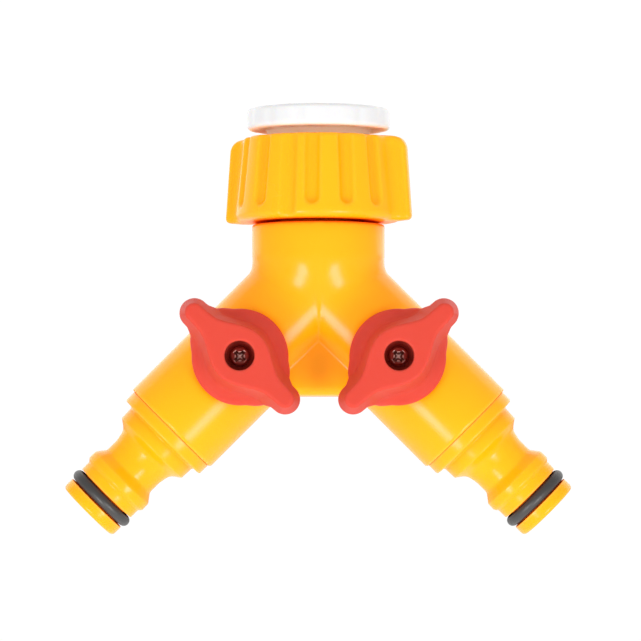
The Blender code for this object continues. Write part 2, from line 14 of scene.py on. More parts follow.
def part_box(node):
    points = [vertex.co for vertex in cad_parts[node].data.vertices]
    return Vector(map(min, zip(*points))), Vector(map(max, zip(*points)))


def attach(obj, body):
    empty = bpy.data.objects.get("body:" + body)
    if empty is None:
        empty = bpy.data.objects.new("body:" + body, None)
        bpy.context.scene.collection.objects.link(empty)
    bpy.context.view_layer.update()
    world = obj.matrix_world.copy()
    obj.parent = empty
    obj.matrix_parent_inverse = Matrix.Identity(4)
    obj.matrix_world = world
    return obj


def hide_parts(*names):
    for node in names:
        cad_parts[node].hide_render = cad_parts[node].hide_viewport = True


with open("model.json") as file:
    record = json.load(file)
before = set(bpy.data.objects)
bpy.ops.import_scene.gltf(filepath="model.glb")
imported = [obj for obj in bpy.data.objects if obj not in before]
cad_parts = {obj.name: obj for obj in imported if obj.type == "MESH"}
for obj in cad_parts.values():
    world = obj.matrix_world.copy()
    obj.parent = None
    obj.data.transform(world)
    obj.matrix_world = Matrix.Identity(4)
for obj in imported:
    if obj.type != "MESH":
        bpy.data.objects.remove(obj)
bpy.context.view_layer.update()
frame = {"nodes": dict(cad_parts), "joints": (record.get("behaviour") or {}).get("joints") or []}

M_PER_MM = 0.001
SIDES = {"left": -1, "right": 1}


def box_mm(node):
    """A frame node's low and high corners in millimetres."""
    low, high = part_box(node)
    return np.array(low) / M_PER_MM, np.array(high) / M_PER_MM


# ---- Sizes: valves and body ----
JOINTS = {joint["name"]: joint for joint in frame["joints"]}
VALVE_SPOT = np.array(JOINTS["right_valve_turn"]["pos_m"]) / M_PER_MM
VALVE_X = VALVE_SPOT[0]
VALVE_Z = VALVE_SPOT[2]
ARM_Z = VALVE_Z + VALVE_X                      # where the arms' axes meet
VALVE_AT = VALVE_X * sqrt(2)                   # from there along the arm
BODY_LOW, BODY_HIGH = box_mm("y_body")
BODY_CELL = 0.52
BODY_MARGIN = 1.5                              # meshed space left free round the body
NECK_TOP = BODY_HIGH[2]
NECK_TOP_EDGE = 0.5
NECK_R = 15.5
NECK_BOTTOM = ARM_Z - 1.1
NECK_BOTTOM_EDGE = 7.5
NECK_BORE_R = 9.8
NECK_BORE_END = -38
NECK_FILLET = 2.2
MIDDLE_FILLET = 2.8                            # added to the neck's fillet at the middle of front and back
MIDDLE_REACH = 13                              # the added fillet has faded out at this x
BARREL_R = 12.75
BARREL_START = -2                              # along the arm
BARREL_START_EDGE = 3
BARREL_END = 48.5
BARREL_END_EDGE = 0.2
CROTCH_FILLET = 0.25
CAVITY_R = 9.0
CAVITY_START = VALVE_AT - 9.5
PASSAGE_R = 5.0
PASSAGE_START = -4
WEB_BOTTOM = -67.1
WEB_HALF_DEPTH = 8.2
WEB_EDGE = 2.2
WEB_FILLET = 0.2
BOSS_R = 8.5
BOSS_TOP = 13.7
BOSS_ROOT = 4
BOSS_EDGE = 0.5
BOSS_FILLET = 1.5
STEM_BORE_R = 3.8
STEM_BORE_END = 5
BORE_EDGE = 0.3

# ---- Sizes: swivel nut ----
NUT_LOW, NUT_HIGH = box_mm("swivel_nut")
NUT_CELL = 0.42
NUT_MARGIN = 1
NUT_TOP = NUT_HIGH[2]
NUT_BOTTOM = NUT_LOW[2]
NUT_TOP_R = 17.5
NUT_BOTTOM_R = 19.5
NUT_SLOPE = (NUT_BOTTOM_R - NUT_TOP_R) / (NUT_TOP - NUT_BOTTOM)
NUT_TOP_EDGE = 1.0
NUT_BOTTOM_EDGE = 2.0
NUT_END_EDGE = 0.6
NUT_BORE_R = 13.4
NUT_BORE_EDGE = 0.5
NUT_LIP_R = 10.0
NUT_LIP_TOP = -23.5
NUT_LIP_EDGE = 0.3
WING_ANGLE = 72
WING_TOP_R = 21.3
WING_BOTTOM_R = 22.7
WING_SLOPE = (WING_BOTTOM_R - WING_TOP_R) / (NUT_TOP - NUT_BOTTOM)
WING_TOP_EDGE = 3.0
WING_BOTTOM_EDGE = 1.5
WING_HALF_WIDTH = 1.7
WING_SIDE_EDGE = 1.1
WING_ROOT_R = 12
WING_FILLET = 2.4
FLUTE_ANGLES = (-72, -46, -5, 20, 44.5)
FLUTE_R = 1.9
FLUTE_DEPTH = 1.25
FLUTE_LOW = -21.6
FLUTE_EDGE = 0.45
VALLEY_ANGLE = -22.5
VALLEY_R = 2.5
VALLEY_DEPTH = 1.0
VALLEY_LOW = NUT_BOTTOM - 5

# ---- Sizes: knobs and screws, with heights out from the arm's axis ----
KNOB_LOW, KNOB_HIGH = box_mm("right_knob")
KNOB_CELL = 0.36
KNOB_MARGIN = 1
KNOB_REACH = (19.0, 12.5)                      # half the meshed space along and across the handle
KNOB_TURN = radians(43.6)
KNOB_BASE = -KNOB_HIGH[1]
KNOB_TOP = -KNOB_LOW[1] - 0.05
HANDLE_END = 14.3
HANDLE_TIP_R = 1.9
HANDLE_TAPER = 0.07
HANDLE_MID_R = 6.2
HANDLE_WAIST = 5.0
HANDLE_LOW = 18.6
HANDLE_TOP_EDGE = 0.55
HANDLE_LOW_EDGE = 1.1
MID_DRAFT = 0.21
LOBE_DRAFT = 0.265
LOBE_START = 5
LOBE_RUN = 7
GUSSET_END = 13.2
GUSSET_SLOPE = 1.6
DISC_R = 11.1
DISC_TOP = KNOB_BASE + 1.7
DISC_TOP_EDGE = 1.0
DISC_LOW_EDGE = 0.3
DISC_FILLET = 2.6
KNOB_HOLE_R = 3.4
KNOB_HOLE_EDGE = 0.25
SHANK_HOLE_R = 1.55
SHANK_HOLE_EDGE = 0.1
SCREW_CELL = 0.11
SCREW_REACH = 2.6                              # half the width of the meshed space
SCREW_FLOOR = 18.4
SCREW_HEAD_R = 2.2
SCREW_HEAD_LOW = SCREW_FLOOR + 0.3
SCREW_HEAD_TOP = SCREW_HEAD_LOW + 1.7
SCREW_HEAD_EDGE = 0.35
SCREW_HEAD_LOW_EDGE = 0.12
SCREW_DOME_R = 4.2
SHANK_R = 1.25
SHANK_END = 11.8
SCREW_SPACE = (SHANK_END - 0.6, SCREW_HEAD_TOP + 0.4)
SHANK_FILLET = 0.1
CROSS_ARM = (1.8, 0.42)                        # reach and half width
CROSS_NOTCH = (0.95, 0.14)
CROSS_SLOTS = ((0, CROSS_ARM), (90, CROSS_ARM), (45, CROSS_NOTCH), (135, CROSS_NOTCH))
CROSS_END_SLOPE = 0.62
CROSS_SIDE_SLOPE = 0.1
CROSS_DEPTH = 1.6
CROSS_EDGE = 0.05

# ---- Sizes: adaptor, inlet and threads ----
THREAD_PITCH = 1.814
THREAD_STEPS = 64                              # to a turn
THREAD_FADE = 0.4                              # turns over which a ridge rises at each end
THREAD_LEAST = 0.04                            # the ridge's height at its very ends, as a share
THREAD_SINK = 0.35                             # how deep a ridge's root lies in the wall
THREAD_BASE = 0.44                             # half the ridge's width at its root, in pitches
THREAD_CREST = 0.14                            # and at its crest
NUT_THREAD = (-20.5, NUT_TOP - 1.2)
NUT_CREST_R = 12.35
ADAPTOR_LOW, ADAPTOR_HIGH = box_mm("thread_adaptor")
ADAPTOR_BOTTOM = ADAPTOR_LOW[2]
ADAPTOR_ROOT_R = 12.05
ADAPTOR_CREST_R = 13.1
ADAPTOR_BORE_R = 6.5
ADAPTOR_STEPS = 336
ADAPTOR_RUN = 0.8                              # longest straight run of the outline
FLANGE_R = ADAPTOR_HIGH[0]
FLANGE_BOTTOM = -4.8
OUTER_THREAD = (ADAPTOR_BOTTOM + 0.9, FLANGE_BOTTOM - 2.2)
SOCKET_R = 10.4
SOCKET_CREST_R = 9.45
SOCKET_FLOOR = -14.0
SOCKET_THREAD = (SOCKET_FLOOR + 3.2, -1.3)
RIM_DIPS = 14
RIM_DIP_DEPTH = 0.28
RIM_DIP_TURN = radians(90 - 8.8)
RIM_DIP_R = 14.5
RIM_DIP_RUN = 1.5
SPIGOT_TOP = -21.0
SPIGOT_FLANGE_R = 11.7
SPIGOT_FLANGE_LOW = -23.2
SPIGOT_R = 9.5
SPIGOT_BORE_R = 7.2
SPIGOT_END = -36.5
INLET_WASHER_BORE_R = 7.5
ADAPTOR_WASHER_BORE_R = 6.2
WASHER_EDGE = 0.25

# ---- Sizes: nozzles, as distances from the arm's axis and along it ----
TURN_STEPS = 128
LONGEST_RUN = 2.0
NOZZLE_RUN = 0.8
NOZZLE_TIP = 75.9
NOZZLE_TIP_R = 7.98
NOZZLE_BORE_R = 4.5
RING_GROOVE = (69.85, 73.05)
RING_GROOVE_R = 5.9
RING_WIRE_R = 1.32
RING_CENTRE_R = 7.33
RING_AT = sum(RING_GROOVE) / 2
RING_STEPS = 28
NOZZLE_SHOULDER_R = 8.0
COLLAR_R = 12.12
COLLAR_START = BARREL_END + 0.04
COLLAR_END = 51.42
TAIL_R = 8.7
TAIL_START = VALVE_AT + 9.5


# ---- Distance functions: numpy arrays of points in millimetres ----
def join(a, b, radius):
    """Union of two distances with a round fillet of the given radius."""
    inner = np.hypot(np.maximum(radius - a, 0), np.maximum(radius - b, 0))
    return np.maximum(radius, np.minimum(a, b)) - inner


def meet(a, b, radius):
    """Intersection of two distances with a rounded edge of the given radius."""
    return -join(-a, -b, radius)


def cut(a, b, radius):
    """What is left of a after b is cut away, with the edge rounded."""
    return meet(a, -b, radius)


def arm_coordinates(p, direction):
    """Distance along an arm, and from its axis."""
    half = sqrt(0.5)
    x = direction * p[:, 0]
    z = p[:, 2] - ARM_Z
    along = (x - z) * half
    across = (x + z) * half
    return along, np.hypot(across, p[:, 1])


def valve_distance(p, direction):
    """Distance from a valve's turning axis."""
    return np.hypot(p[:, 0] - direction * VALVE_X, p[:, 2] - VALVE_Z)


def barrel_distance(p, direction):
    along, off = arm_coordinates(p, direction)
    barrel = meet(off - BARREL_R, along - BARREL_END, BARREL_END_EDGE)
    return meet(barrel, BARREL_START - along, BARREL_START_EDGE)


def web_distance(p):
    """The recessed wall that fills the corner between the arms."""
    web = np.maximum(WEB_BOTTOM - p[:, 2], (np.abs(p[:, 0]) - (ARM_Z - p[:, 2])) * sqrt(0.5))
    return meet(web, np.abs(p[:, 1]) - WEB_HALF_DEPTH, WEB_EDGE)


def boss_distance(p, direction):
    boss = meet(valve_distance(p, direction) - BOSS_R, -p[:, 1] - BOSS_TOP, BOSS_EDGE)
    return np.maximum(boss, p[:, 1] + BOSS_ROOT)


def arm_hollow_distance(p, direction):
    """The valve's cavity and the water's passage to it."""
    along, off = arm_coordinates(p, direction)
    cavity = np.maximum(off - CAVITY_R, CAVITY_START - along)
    passage = np.maximum(off - PASSAGE_R, PASSAGE_START - along)
    return np.minimum(cavity, passage)


def body_distance(p):
    radial = np.hypot(p[:, 0], p[:, 1])
    neck = meet(radial - NECK_R, NECK_BOTTOM - p[:, 2], NECK_BOTTOM_EDGE)
    body = join(barrel_distance(p, -1), barrel_distance(p, 1), CROTCH_FILLET)
    body = join(body, web_distance(p), WEB_FILLET)
    spread = np.clip(1 - (p[:, 0] / MIDDLE_REACH) ** 2, 0, 1)
    body = join(body, neck, NECK_FILLET + MIDDLE_FILLET * spread)
    for direction in SIDES.values():
        body = join(body, boss_distance(p, direction), BOSS_FILLET)
    body = meet(body, p[:, 2] - NECK_TOP, NECK_TOP_EDGE)
    body = cut(body, np.maximum(radial - NECK_BORE_R, NECK_BORE_END - p[:, 2]), BORE_EDGE)
    for direction in SIDES.values():
        body = cut(body, arm_hollow_distance(p, direction), BORE_EDGE)
        stem = np.maximum(valve_distance(p, direction) - STEM_BORE_R, p[:, 1] + STEM_BORE_END)
        body = cut(body, stem, BORE_EDGE)
    return body


def wing_distance(p, turn):
    height = p[:, 2]
    out = p[:, 0] * sin(turn) - p[:, 1] * cos(turn)
    across = np.abs(p[:, 0] * cos(turn) + p[:, 1] * sin(turn))
    tip = out - (WING_TOP_R + (NUT_TOP - height) * WING_SLOPE)
    wing = meet(meet(tip, height - NUT_TOP, WING_TOP_EDGE), NUT_BOTTOM - height, WING_BOTTOM_EDGE)
    return np.maximum(meet(wing, across - WING_HALF_WIDTH, WING_SIDE_EDGE), WING_ROOT_R - out)


def groove_distance(p, wall_r, turn, groove_r, depth, low):
    """A round groove that follows the nut's slanted wall down to a ball end at low."""
    centre_r = wall_r + groove_r - depth
    dx = p[:, 0] - centre_r * sin(turn)
    dy = p[:, 1] + centre_r * cos(turn)
    dz = np.maximum(low - p[:, 2], 0)
    return np.sqrt(dx ** 2 + dy ** 2 + dz ** 2) - groove_r


def nut_distance(p):
    radial = np.hypot(p[:, 0], p[:, 1])
    height = p[:, 2]
    wall_r = NUT_TOP_R + (NUT_TOP - height) * NUT_SLOPE
    wall = (radial - wall_r) / sqrt(1 + NUT_SLOPE ** 2)
    nut = meet(meet(wall, height - NUT_TOP, NUT_TOP_EDGE), NUT_BOTTOM - height, NUT_BOTTOM_EDGE)
    for half in (0, 180):
        nut = join(nut, wing_distance(p, radians(WING_ANGLE + half)), WING_FILLET)
    nut = meet(nut, height - NUT_TOP, NUT_END_EDGE)
    nut = meet(nut, NUT_BOTTOM - height, NUT_END_EDGE)
    for half in (0, 180):
        for angle in FLUTE_ANGLES:
            flute = groove_distance(p, wall_r, radians(angle + half), FLUTE_R, FLUTE_DEPTH, FLUTE_LOW)
            nut = cut(nut, flute, FLUTE_EDGE)
        turn = radians(VALLEY_ANGLE + half)
        valley = groove_distance(p, wall_r, turn, VALLEY_R, VALLEY_DEPTH, VALLEY_LOW)
        nut = cut(nut, valley, FLUTE_EDGE)
    bore = np.maximum(radial - NUT_BORE_R, NUT_LIP_TOP - height)
    nut = cut(nut, bore, NUT_BORE_EDGE)
    return cut(nut, radial - NUT_LIP_R, NUT_LIP_EDGE)


def handle_distance(p, radial):
    """The two-lobed handle: drafted flanks, and an underside that slopes down to the disc."""
    height = p[:, 2]
    along = np.abs(p[:, 0])
    lobe_r = HANDLE_TIP_R + HANDLE_TAPER * np.maximum(HANDLE_END - along, 0)
    lobe = np.hypot(np.maximum(along - HANDLE_END, 0), p[:, 1]) - lobe_r
    outline = join(radial - HANDLE_MID_R, lobe, HANDLE_WAIST)
    draft = MID_DRAFT + (LOBE_DRAFT - MID_DRAFT) * np.clip((along - LOBE_START) / LOBE_RUN, 0, 1)
    depth = np.clip(KNOB_TOP - height, 0, KNOB_TOP - KNOB_BASE)
    flank = (outline - draft * depth) / np.sqrt(1 + draft ** 2)
    low = HANDLE_LOW - GUSSET_SLOPE * np.maximum(GUSSET_END - along, 0)
    underside = (low - height) / sqrt(1 + GUSSET_SLOPE ** 2)
    return meet(meet(flank, height - KNOB_TOP, HANDLE_TOP_EDGE), underside, HANDLE_LOW_EDGE)


def knob_distance(p):
    """In the knob's own frame: x along the handle, y across it, z out from the arm's axis."""
    radial = np.hypot(p[:, 0], p[:, 1])
    height = p[:, 2]
    disc = meet(radial - DISC_R, height - DISC_TOP, DISC_TOP_EDGE)
    disc = meet(disc, KNOB_BASE - height, DISC_LOW_EDGE)
    knob = join(disc, handle_distance(p, radial), DISC_FILLET)
    knob = np.maximum(knob, KNOB_BASE - height)
    hole = np.maximum(radial - KNOB_HOLE_R, SCREW_FLOOR - height)
    knob = cut(knob, hole, KNOB_HOLE_EDGE)
    return cut(knob, radial - SHANK_HOLE_R, SHANK_HOLE_EDGE)


def screw_distance(p):
    """In the knob's own frame: a domed head with a tapered cross recess, and a plain shank."""
    radial = np.hypot(p[:, 0], p[:, 1])
    height = p[:, 2]
    dome = np.sqrt(radial ** 2 + (height - SCREW_HEAD_TOP + SCREW_DOME_R) ** 2) - SCREW_DOME_R
    head = meet(radial - SCREW_HEAD_R, dome, SCREW_HEAD_EDGE)
    head = meet(head, SCREW_HEAD_LOW - height, SCREW_HEAD_LOW_EDGE)
    screw = join(head, np.maximum(radial - SHANK_R, SHANK_END - height), SHANK_FILLET)
    screw = np.maximum(screw, height - SCREW_HEAD_TOP)
    depth = np.maximum(SCREW_HEAD_TOP - height, 0)
    for angle, (reach, half_width) in CROSS_SLOTS:
        turn = radians(angle)
        along = np.abs(p[:, 0] * cos(turn) + p[:, 1] * sin(turn))
        across = np.abs(-p[:, 0] * sin(turn) + p[:, 1] * cos(turn))
        slot = np.maximum(along - reach + CROSS_END_SLOPE * depth,
                          across - half_width + CROSS_SIDE_SLOPE * depth)
        screw = cut(screw, np.maximum(slot, depth - CROSS_DEPTH), CROSS_EDGE)
    return screw


# ---- Meshing ----
def crossing_quads(number, axis, others, change, inside):
    """One quad for each grid edge along an axis that crosses the surface, turned to face outwards."""
    where = np.argwhere(change)
    flip = inside[tuple(where.T)]
    step0 = np.zeros(3, int)
    step1 = np.zeros(3, int)
    step0[others[0]] = 1
    step1[others[1]] = 1
    ring = [where - step0 - step1, where - step1, where, where - step0]
    corners = np.stack([number[tuple(r.T)] for r in ring], 1)
    if axis == 1:
        flip = ~flip
    corners[~flip] = corners[~flip][:, ::-1]
    return corners


def net(distance, low, high, cell):
    """A quad mesh near a distance function's zero surface: one point in every cell it crosses."""
    counts = [int((high[i] - low[i]) / cell) + 2 for i in range(3)]
    axes = [low[i] + cell * np.arange(counts[i]) for i in range(3)]
    grid = np.stack(np.meshgrid(*axes, indexing="ij"), -1)
    values = distance(grid.reshape(-1, 3)).reshape(counts)
    cells = [count - 1 for count in counts]
    total = np.zeros((*cells, 3))
    crossings = np.zeros(cells)
    crossed = []
    for axis in range(3):
        here = [slice(None)] * 3
        ahead = [slice(None)] * 3
        here[axis] = slice(0, -1)
        ahead[axis] = slice(1, None)
        a, b = values[tuple(here)], values[tuple(ahead)]
        change = (a < 0) != (b < 0)
        share = np.where(change, a / np.where(change, a - b, 1), 0)
        point = grid[tuple(here)] + 0.0
        point[..., axis] += share * cell
        others = [i for i in range(3) if i != axis]
        # Four cells share each grid edge, and each of them takes its crossing in.
        for first in (0, 1):
            for second in (0, 1):
                part = [slice(None)] * 3
                part[others[0]] = slice(first, first + cells[others[0]])
                part[others[1]] = slice(second, second + cells[others[1]])
                mask = change[tuple(part)]
                total += np.where(mask[..., None], point[tuple(part)], 0)
                crossings += mask
        crossed.append((axis, others, change, a < 0))
    used = crossings > 0
    number = np.full(cells, -1)
    number[used] = np.arange(used.sum())
    points = total[used] / crossings[used][:, None]
    return points, np.concatenate([crossing_quads(number, *crossing) for crossing in crossed])


def gradient(distance, points, step=0.02):
    """The distance's slope at each point, by central differences."""
    slope = np.empty_like(points)
    for axis in range(3):
        move = np.zeros(3)
        move[axis] = step
        slope[:, axis] = (distance(points + move) - distance(points - move)) / (2 * step)
    return slope


def settle(distance, points, least=0.25):
    """Moves points onto the surface along the distance's slope; least keeps flat spots from jumping."""
    slope = gradient(distance, points)
    size = np.maximum((slope ** 2).sum(1), least)
    return points - slope * (distance(points) / size)[:, None]


def smooth_shell(distance, low, high, cell, rounds=6):
    """Points and quads of the zero surface, evened out along it."""
    points, quads = net(distance, low, high, cell)
    edges = np.concatenate([quads[:, [i, (i + 1) % 4]] for i in range(4)])
    edges = np.concatenate([edges, edges[:, ::-1]])
    degree = np.bincount(edges[:, 0], minlength=len(points))[:, None]
    for _ in range(2):
        points = settle(distance, points)
    for _ in range(rounds):
        sums = np.stack([np.bincount(edges[:, 0], points[edges[:, 1], i], len(points)) for i in range(3)], 1)
        points = settle(distance, points * 0.5 + sums / degree * 0.5)
    return settle(distance, points), quads


def turned(profile, count, shift=None):
    """Points and faces of a turned shape from a closed profile of (radius, height), outer side downwards.

    shift, where given, moves a point out from the axis by shift(radius, angle).
    """
    profile = np.array(profile)
    angles = 2 * pi * np.arange(count) / count
    radius = np.repeat(profile[None, :, 0], count, 0)
    height = np.repeat(profile[None, :, 1], count, 0)
    angle = np.repeat(angles[:, None], len(profile), 1)
    if shift is not None:
        radius = radius + shift(radius, angle)
    points = np.stack([radius * np.cos(angle), radius * np.sin(angle), height], -1).reshape(-1, 3)
    index = np.arange(count * len(profile)).reshape(count, len(profile))
    ahead = np.roll(index, -1, 0)
    faces = np.stack([index, np.roll(index, -1, 1), np.roll(ahead, -1, 1), ahead], -1).reshape(-1, 4)
    return points, faces


def rounded(corners, arc_step=radians(15), most=0.49):
    """A closed profile from (radius, height, rounding) corners, each rounded by an arc.

    An arc takes up at most that share of the run on either side of its corner.
    """
    result = []
    count = len(corners)
    for i, (x, y, r) in enumerate(corners):
        here = np.array((x, y))
        if r == 0:
            result.append(tuple(here))
            continue
        before = np.array(corners[i - 1][:2]) - here
        after = np.array(corners[(i + 1) % count][:2]) - here
        before_length, after_length = np.hypot(*before), np.hypot(*after)
        before, after = before / before_length, after / after_length
        half = np.arccos(np.clip(before @ after, -1, 1)) / 2
        reach = min(r / tan(half), most * before_length, most * after_length)
        r = reach * tan(half)
        bisector = (before + after) / np.hypot(*(before + after))
        centre = here + bisector * (r / sin(half))
        start, end = here + before * reach - centre, here + after * reach - centre
        start_angle = np.arctan2(start[1], start[0])
        sweep = (np.arctan2(end[1], end[0]) - start_angle + pi) % (2 * pi) - pi
        steps = max(2, int(abs(sweep) / arc_step) + 1)
        for k in range(steps + 1):
            angle = start_angle + sweep * k / steps
            result.append((centre[0] + r * np.cos(angle), centre[1] + r * np.sin(angle)))
    return result


def subdivided(profile, longest):
    """The profile with its long straight runs cut into shorter ones."""
    result = []
    for i, point in enumerate(profile):
        following = profile[(i + 1) % len(profile)]
        length = np.hypot(following[0] - point[0], following[1] - point[1])
        steps = max(1, int(np.ceil(length / longest)))
        for k in range(steps):
            share = k / steps
            result.append((point[0] + (following[0] - point[0]) * share,
                           point[1] + (following[1] - point[1]) * share))
    return result


def helix_ridge(start, end, root_r, crest_r):
    """A thread: a tapered ridge along a right-hand helix, closed and faded out at both ends."""
    turns = (end - start) / THREAD_PITCH
    count = int(turns * THREAD_STEPS) + 1
    t = np.linspace(0, turns, count)
    fade = np.clip(np.minimum(t, turns - t) / THREAD_FADE, THREAD_LEAST, 1)
    base_r = root_r + np.sign(root_r - crest_r) * THREAD_SINK + 0 * t
    base = THREAD_BASE * THREAD_PITCH + 0 * t
    tip_r = root_r + (crest_r - root_r) * fade
    tip = THREAD_CREST * THREAD_PITCH * fade
    section = [(base_r, -base), (tip_r, -tip), (tip_r, tip), (base_r, base)]
    angle = 2 * pi * t
    rings = [np.stack([r * np.cos(angle), r * np.sin(angle), start + THREAD_PITCH * t + dz], 1)
             for r, dz in section]
    points = np.stack(rings, 1).reshape(-1, 3)
    index = np.arange(count * 4).reshape(count, 4)
    faces = [tuple(index[i, [k, (k + 1) % 4]]) + tuple(index[i + 1, [(k + 1) % 4, k]])
             for i in range(count - 1) for k in range(4)]
    faces.append(tuple(index[0, ::-1]))
    faces.append(tuple(index[-1]))
    if crest_r > root_r:
        faces = [face[::-1] for face in faces]
    return points, faces


def make_piece(name, points, faces, body, material, nodes=(), place=None):
    """A smooth mesh piece from millimetre points, riding on a body."""
    mesh = bpy.data.meshes.new(name)
    spots = np.asarray(points) * M_PER_MM
    mesh.from_pydata(spots.tolist(), [], [list(map(int, face)) for face in faces])
    mesh.validate()
    mesh.update()
    mesh.shade_smooth()
    mesh.materials.append(material)
    piece = bpy.data.objects.new(name, mesh)
    bpy.context.scene.collection.objects.link(piece)
    if place is not None:
        mesh.transform(place)
    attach(piece, body)
    if nodes:
        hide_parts(*nodes)


def arm_place(side):
    """From an arm's own frame, z along the arm, to the object's."""
    move = Matrix.Translation((0, 0, ARM_Z * M_PER_MM))
    return move @ Matrix.Rotation(SIDES[side] * radians(135), 4, "Y")


def knob_place(side):
    """From a knob's own frame to the object's."""
    move = Matrix.Translation((SIDES[side] * VALVE_X * M_PER_MM, 0, VALVE_Z * M_PER_MM))
    return move @ Matrix.Rotation(pi / 2, 4, "X") @ Matrix.Rotation(SIDES[side] * KNOB_TURN, 4, "Z")


# ---- Materials: lengths in metres, noise scales per metre ----
DRIFT = {"Scale": 55, "Detail": 4}             # slow change of colour and gloss
GLOSS_SPREAD = (0.8, 1.25)
WAVES = {"Scale": 90, "Detail": 1}             # sink waves of a moulded wall
WAVE_BUMP = {"Strength": 0.25, "Distance": 0.0002}
GRAIN_DETAIL = 3
GRAIN_HEIGHT = 0.0001
HIDDEN_SAMPLES = 8
SHINE_SPAN = (0.45, 0.92)                      # openness over which the reflections fade in; fading them out in hollows is painted shade
# Paled convex edges: partly edge wear, partly a painted highlight along the edges.
WEAR_AND_HIGHLIGHT_SAMPLES = 4
WEAR_AND_HIGHLIGHT_REACH = 0.0007
WEAR_AND_HIGHLIGHT_SPAN = (0.95, 0.45)
EDGE_WEAR_AND_HIGHLIGHT = 0.15
GLOW_RADII = (1.0, 0.5, 0.15)
GLOW_SCALE = 0.0025
PARTING_WIDTH = 0.00022
PARTING_BUMP = {"Strength": 0.6, "Distance": 0.0002}
WARM_SHINE = (0.9, 0.68, 1.0)


def linked(nodes, links, kind, settings, sources):
    """A new shader node with its input values set and its inputs linked."""
    node = nodes.new(kind)
    for name, value in settings.items():
        node.inputs[name].default_value = value
    for name, source in sources.items():
        links.new(source, node.inputs[name])
    return node


def mapped(nodes, links, value, span, to_low, to_high):
    """A value's span mapped to another one, and held at its ends."""
    settings = {"From Min": span[0], "From Max": span[1], "To Min": to_low, "To Max": to_high}
    return linked(nodes, links, "ShaderNodeMapRange", settings, {"Value": value}).outputs["Result"]


def mixed(nodes, links, factor, first, second):
    """A colour mix; each colour is a socket or an (r, g, b)."""
    mix = nodes.new("ShaderNodeMix")
    mix.data_type = "RGBA"
    links.new(factor, mix.inputs["Factor"])
    for name, color in (("A", first), ("B", second)):
        if isinstance(color, tuple):
            mix.inputs[name].default_value = (*color, 1)
        else:
            links.new(color, mix.inputs[name])
    return mix.outputs["Result"]


def occlusion(nodes, links, distance, samples, inside=False):
    """How open a spot is to the air within a distance; inside looks through the wall instead."""
    node = linked(nodes, links, "ShaderNodeAmbientOcclusion", {"Distance": distance}, {})
    node.samples = samples
    node.inside = inside
    return node.outputs["AO"]


def surface_relief(nodes, links, place, bump, grain):
    """Sink waves with fine grain on them."""
    fine = linked(nodes, links, "ShaderNodeTexNoise", {"Scale": grain, "Detail": GRAIN_DETAIL},
                  {"Vector": place})
    waves = linked(nodes, links, "ShaderNodeTexNoise", WAVES, {"Vector": place})
    sink = linked(nodes, links, "ShaderNodeBump", WAVE_BUMP, {"Height": waves.outputs["Fac"]})
    relief = linked(nodes, links, "ShaderNodeBump", {"Strength": bump, "Distance": GRAIN_HEIGHT},
                    {"Height": fine.outputs["Fac"], "Normal": sink.outputs["Normal"]})
    return relief.outputs["Normal"]


def parting_line(nodes, links, place, normal):
    """The fine raised line a two-part mould leaves in the plane of the arms' axes."""
    depth = linked(nodes, links, "ShaderNodeSeparateXYZ", {}, {"Vector": place}).outputs["Y"]
    beyond = linked(nodes, links, "ShaderNodeMath", {}, {0: depth})
    beyond.operation = "ABSOLUTE"
    line = mapped(nodes, links, beyond.outputs["Value"], (0, PARTING_WIDTH), 1, 0)
    raised = linked(nodes, links, "ShaderNodeBump", PARTING_BUMP, {"Height": line, "Normal": normal})
    return raised.outputs["Normal"]


def new_material(name, color, recess, roughness, bump, grain, subsurface=0.0, metallic=0.0, tint=0.05,
                 specular=0.5, shine_tint=(1, 1, 1), reach=0.009, span=(0.15, 0.85), parting=False,
                 wear_and_highlight_paleness=0.35):
    """Moulded surface: drifting colour and gloss, painted shade and bounced light in recesses, paler edges,
    fine grain.

    reach is how far a recess is shaded from, and span the openness over which the open colour takes over.
    """
    material = bpy.data.materials.new(name)
    material.use_nodes = True
    nodes, links = material.node_tree.nodes, material.node_tree.links
    shader = nodes["Principled BSDF"]
    shader.inputs["Metallic"].default_value = metallic
    shader.inputs["Specular Tint"].default_value = (*shine_tint, 1)
    if subsurface:
        shader.inputs["Subsurface Weight"].default_value = subsurface
        shader.inputs["Subsurface Radius"].default_value = GLOW_RADII
        shader.inputs["Subsurface Scale"].default_value = GLOW_SCALE
    place = nodes.new("ShaderNodeTexCoord").outputs["Object"]
    drift = linked(nodes, links, "ShaderNodeTexNoise", DRIFT, {"Vector": place}).outputs["Fac"]
    dull = tuple(c * (1 - tint) for c in color)
    bright = tuple(min(1, c * (1 + tint)) for c in color)
    pale = tuple(c + (1 - c) * wear_and_highlight_paleness for c in color)
    body = mixed(nodes, links, drift, dull, bright)
    # Hollows found by the occlusion test take the recess colour: painted shade, warmer where it stands for
    # light bounced off nearby parts.
    hidden = occlusion(nodes, links, reach, HIDDEN_SAMPLES)
    shaded = mixed(nodes, links, mapped(nodes, links, hidden, span, 0, 1), recess, body)
    # Reflections fade out in the same hollows: painted shade on the reflections.
    links.new(mapped(nodes, links, hidden, SHINE_SPAN, 0, specular), shader.inputs["Specular IOR Level"])
    # Edges found by looking through the wall are paled: partly edge wear, partly a painted highlight.
    thin = occlusion(nodes, links, WEAR_AND_HIGHLIGHT_REACH, WEAR_AND_HIGHLIGHT_SAMPLES, True)
    edge = mapped(nodes, links, thin, WEAR_AND_HIGHLIGHT_SPAN, 0, EDGE_WEAR_AND_HIGHLIGHT)
    links.new(mixed(nodes, links, edge, shaded, pale), shader.inputs["Base Color"])
    glossy, matt = (roughness * spread for spread in GLOSS_SPREAD)
    links.new(mapped(nodes, links, drift, (0, 1), glossy, matt), shader.inputs["Roughness"])
    normal = surface_relief(nodes, links, place, bump, grain)
    if parting:
        normal = parting_line(nodes, links, place, normal)
    links.new(normal, shader.inputs["Normal"])
    return material
